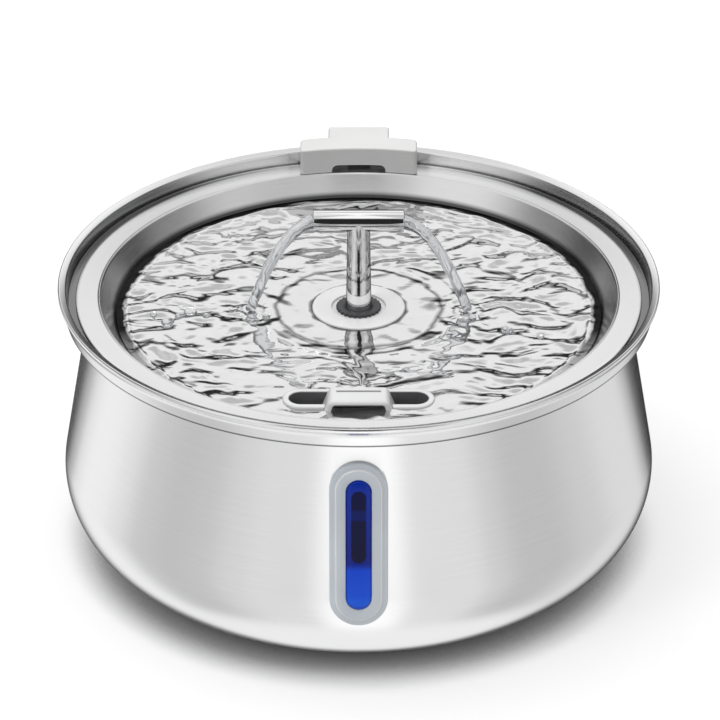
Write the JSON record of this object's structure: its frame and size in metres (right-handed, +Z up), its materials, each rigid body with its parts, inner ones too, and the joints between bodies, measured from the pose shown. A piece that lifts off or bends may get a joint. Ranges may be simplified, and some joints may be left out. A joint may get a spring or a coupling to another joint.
{
  "type": "pet water fountain",
  "caption": "Round steel drinking fountain for pets: flared basin with a level window, lift-off tray, turning T spout, drain hood and an inner pump.",
  "frame": {"origin": "centre of the base, on the floor", "axes": "+Z up; the level window faces -Y and the lead clip is at +Y"},
  "size_m": [0.25, 0.2589, 0.1519],
  "materials": {
    "steel_satin": "satin drawn stainless steel",
    "steel_polished": "polished stainless steel tube",
    "trim_grey": "light grey moulding",
    "bezel_grey": "pale translucent grey moulding",
    "lens_blue": "clear blue plastic",
    "silicone_pale": "pale silicone",
    "rubber_dark": "dark rubber",
    "white_plastic": "white moulding",
    "pump_black": "black moulding",
    "cage_white": "white moulding",
    "ferrite": "dark sintered magnet",
    "ceramic_white": "polished ceramic",
    "screw_steel": "bright steel",
    "filter_white": "white filter fleece",
    "sponge_grey": "dark open-cell sponge",
    "clip_grey": "light grey satin moulding",
    "lamp_clear": "clear lamp cap"
  },
  "bodies": {
    "basin": {"basin_shell": "steel_satin", "basin_lip": "steel_satin", "rear_lip": "steel_satin", "foot_ring": "rubber_dark", "window_gasket": "silicone_pale", "window_bezel": "bezel_grey", "window_lens": "lens_blue", "window_backplate": "cage_white", "window_screws": "screw_steel", "pump_housing": "cage_white", "housing_floor": "cage_white", "suction_cups": "rubber_dark", "filter_frame": "cage_white", "filter_pad": "filter_white", "pump_body": "pump_black", "cover_seal": "rubber_dark", "pump_cover": "pump_black", "shaft_bushes": "rubber_dark", "impeller_shaft": "ceramic_white", "pump_light": "lamp_clear", "riser_tube": "silicone_pale", "sponge_filter": "sponge_grey"},
    "housing_lid": {"housing_lid": "cage_white"},
    "impeller": {"impeller_magnet": "ferrite", "impeller_wheel": "white_plastic"},
    "flow_slider": {"flow_slider": "pump_black"},
    "tray": {"tray_pan": "steel_satin", "drain_collar": "trim_grey", "drain_hood": "trim_grey", "centre_fitting": "white_plastic", "fitting_gasket": "silicone_pale", "fitting_nut": "white_plastic"},
    "stem_rings": {"stem_rings": "rubber_dark"},
    "spout": {"spout_stem": "steel_polished", "spout_crossbar": "steel_polished", "spout_grommet": "rubber_dark"},
    "clip": {"clip_cover": "clip_grey", "clip_tab": "clip_grey", "clip_apron": "clip_grey", "clip_hook": "clip_grey", "clip_screws": "screw_steel", "lead_gland": "rubber_dark"}
  },
  "joints": [
    {"name": "tray_lift", "type": "slide", "parent": "basin", "child": "tray", "axis": [0, 0, 1], "range_m": [0, 0.08]},
    {"name": "spout_pull", "type": "slide", "parent": "tray", "child": "stem_rings", "axis": [0, 0, 1], "range_m": [0, 0.03]},
    {"name": "spout_turn", "type": "hinge", "parent": "stem_rings", "child": "spout", "pos_m": [0, 0, 0.1073], "axis": [0, 0, 1], "continuous": true},
    {"name": "clip_lift", "type": "slide", "parent": "tray", "child": "clip", "axis": [0, 0, 1], "range_m": [0, 0.03]},
    {"name": "lid_twist", "type": "hinge", "parent": "basin", "child": "housing_lid", "pos_m": [0, 0, 0.06], "axis": [0, 0, 1], "range_deg": [0, 20]},
    {"name": "flow_adjust", "type": "slide", "parent": "basin", "child": "flow_slider", "axis": [-1, 0, 0], "range_m": [0, 0.008]},
    {"name": "impeller_spin", "type": "hinge", "parent": "basin", "child": "impeller", "pos_m": [0, 0, 0.024], "axis": [0, 1, 0], "continuous": true}
  ]
}
